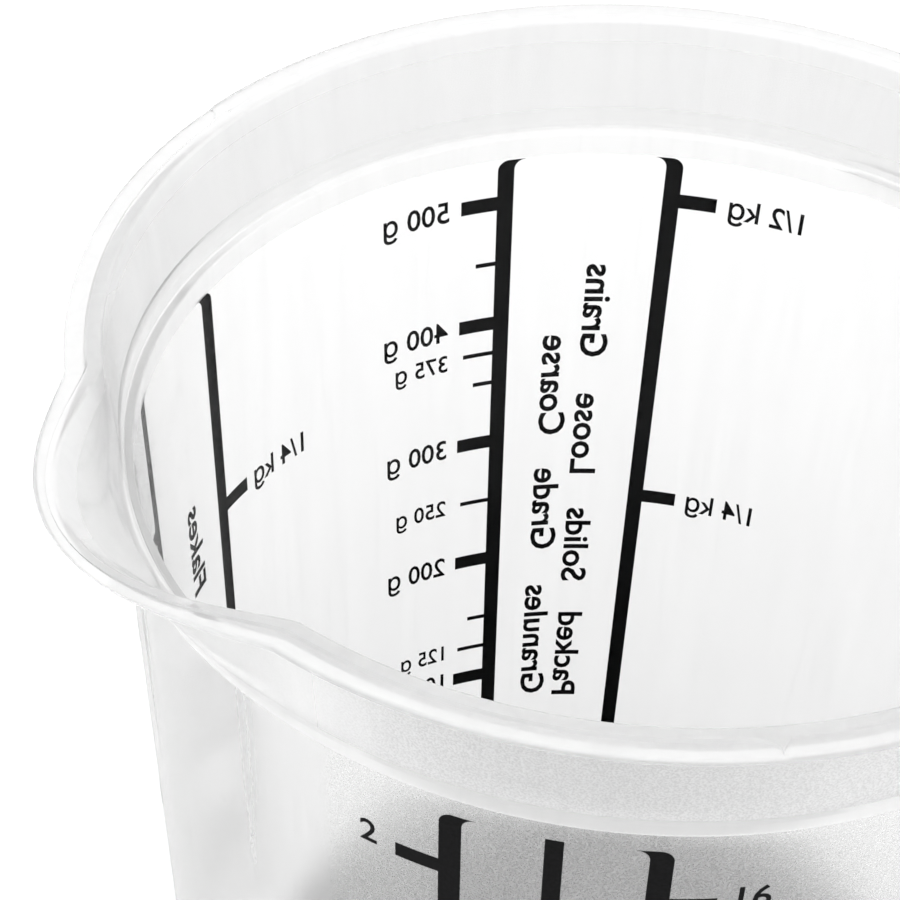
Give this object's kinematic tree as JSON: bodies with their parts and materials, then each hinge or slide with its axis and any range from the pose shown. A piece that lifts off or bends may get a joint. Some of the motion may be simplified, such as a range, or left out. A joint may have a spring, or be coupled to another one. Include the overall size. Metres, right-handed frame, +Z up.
{
  "type": "measuring cup",
  "caption": "Translucent moulded measuring cup with pouring spout, open channel handle and printed black scales for sugar, flour and liquids.",
  "frame": {"origin": "centre of the base on the cup's axis, at the surface the cup stands on", "axes": "+Z up along the cup's axis; +X towards the handle; the pouring spout points along -X"},
  "size_m": [0.1413, 0.106, 0.1085],
  "materials": {
    "polypropylene": "natural translucent polypropylene, polished inside, finely textured outside",
    "ink": "black screen print, satin"
  },
  "bodies": {
    "root": {"cup": "polypropylene", "sugar_scale_grams": "ink", "sugar_scale_kilograms": "ink", "flour_scale_grams": "ink", "flour_scale_kilograms": "ink", "liquid_scale_cups": "ink", "liquid_scale_ounces": "ink", "liquid_centre_bar": "ink"}
  },
  "joints": []
}
